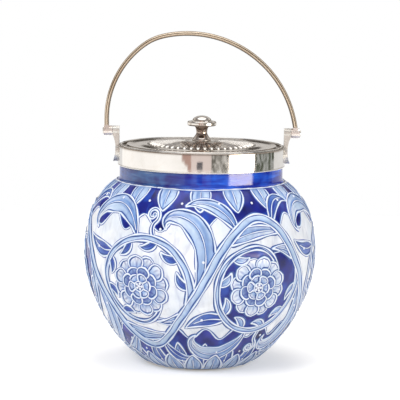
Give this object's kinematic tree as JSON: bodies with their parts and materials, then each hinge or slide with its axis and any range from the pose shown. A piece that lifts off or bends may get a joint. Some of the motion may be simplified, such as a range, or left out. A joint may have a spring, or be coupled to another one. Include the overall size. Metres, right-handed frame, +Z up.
{
  "type": "biscuit jar",
  "caption": "Round glazed pottery jar with a plated collar, a fluted lift-off lid with a turned finial, and a reeded bow handle that swings on two ears.",
  "frame": {"origin": "centre of the foot, on the surface the jar stands on", "axes": "+Z up the axis of the jar; +X along the hinge axis of the bow, towards the right ear; -Y towards the viewer"},
  "size_m": [0.155, 0.155, 0.2234],
  "materials": {
    "glazed_pottery": "glossy blue and white glaze with raised slip lines, uneven washes",
    "plaster": "matt white plaster",
    "plated_collar": "polished silver plate",
    "plated_fittings": "polished silver plate, slightly worn",
    "worn_plate_bow": "reeded silver plate worn to a warm tone",
    "plated_lid": "polished silver plate, tarnish in the flutes",
    "plated_finial": "polished silver plate",
    "brass_fastener": "turned brass"
  },
  "bodies": {
    "jar": {"pottery_body": "glazed_pottery", "plaster_bed": "plaster", "collar_band": "plated_collar", "collar_rim_wire": "plated_collar", "collar_foot_wire": "plated_collar", "lid_seat_ring": "plated_collar", "left_ear": "plated_fittings", "right_ear": "plated_fittings", "left_hinge_pin": "plated_fittings", "right_hinge_pin": "plated_fittings"},
    "handle": {"bow_strap": "worn_plate_bow", "left_bow_eye": "plated_fittings", "right_bow_eye": "plated_fittings"},
    "lid": {"lid_shell": "plated_lid", "lid_rim_wire": "plated_lid", "lid_bezel": "plated_lid", "finial_base": "plated_finial", "finial_knob": "plated_finial", "finial_stud": "brass_fastener", "finial_washer": "brass_fastener", "finial_nut": "brass_fastener"}
  },
  "joints": [
    {"name": "handle_swing", "type": "hinge", "parent": "jar", "child": "handle", "pos_m": [0, 0, 0.156], "axis": [1, 0, 0], "range_deg": [-110, 110]},
    {"name": "lid_lift", "type": "slide", "parent": "jar", "child": "lid", "axis": [0, 0, 1], "range_m": [0, 0.028]}
  ]
}
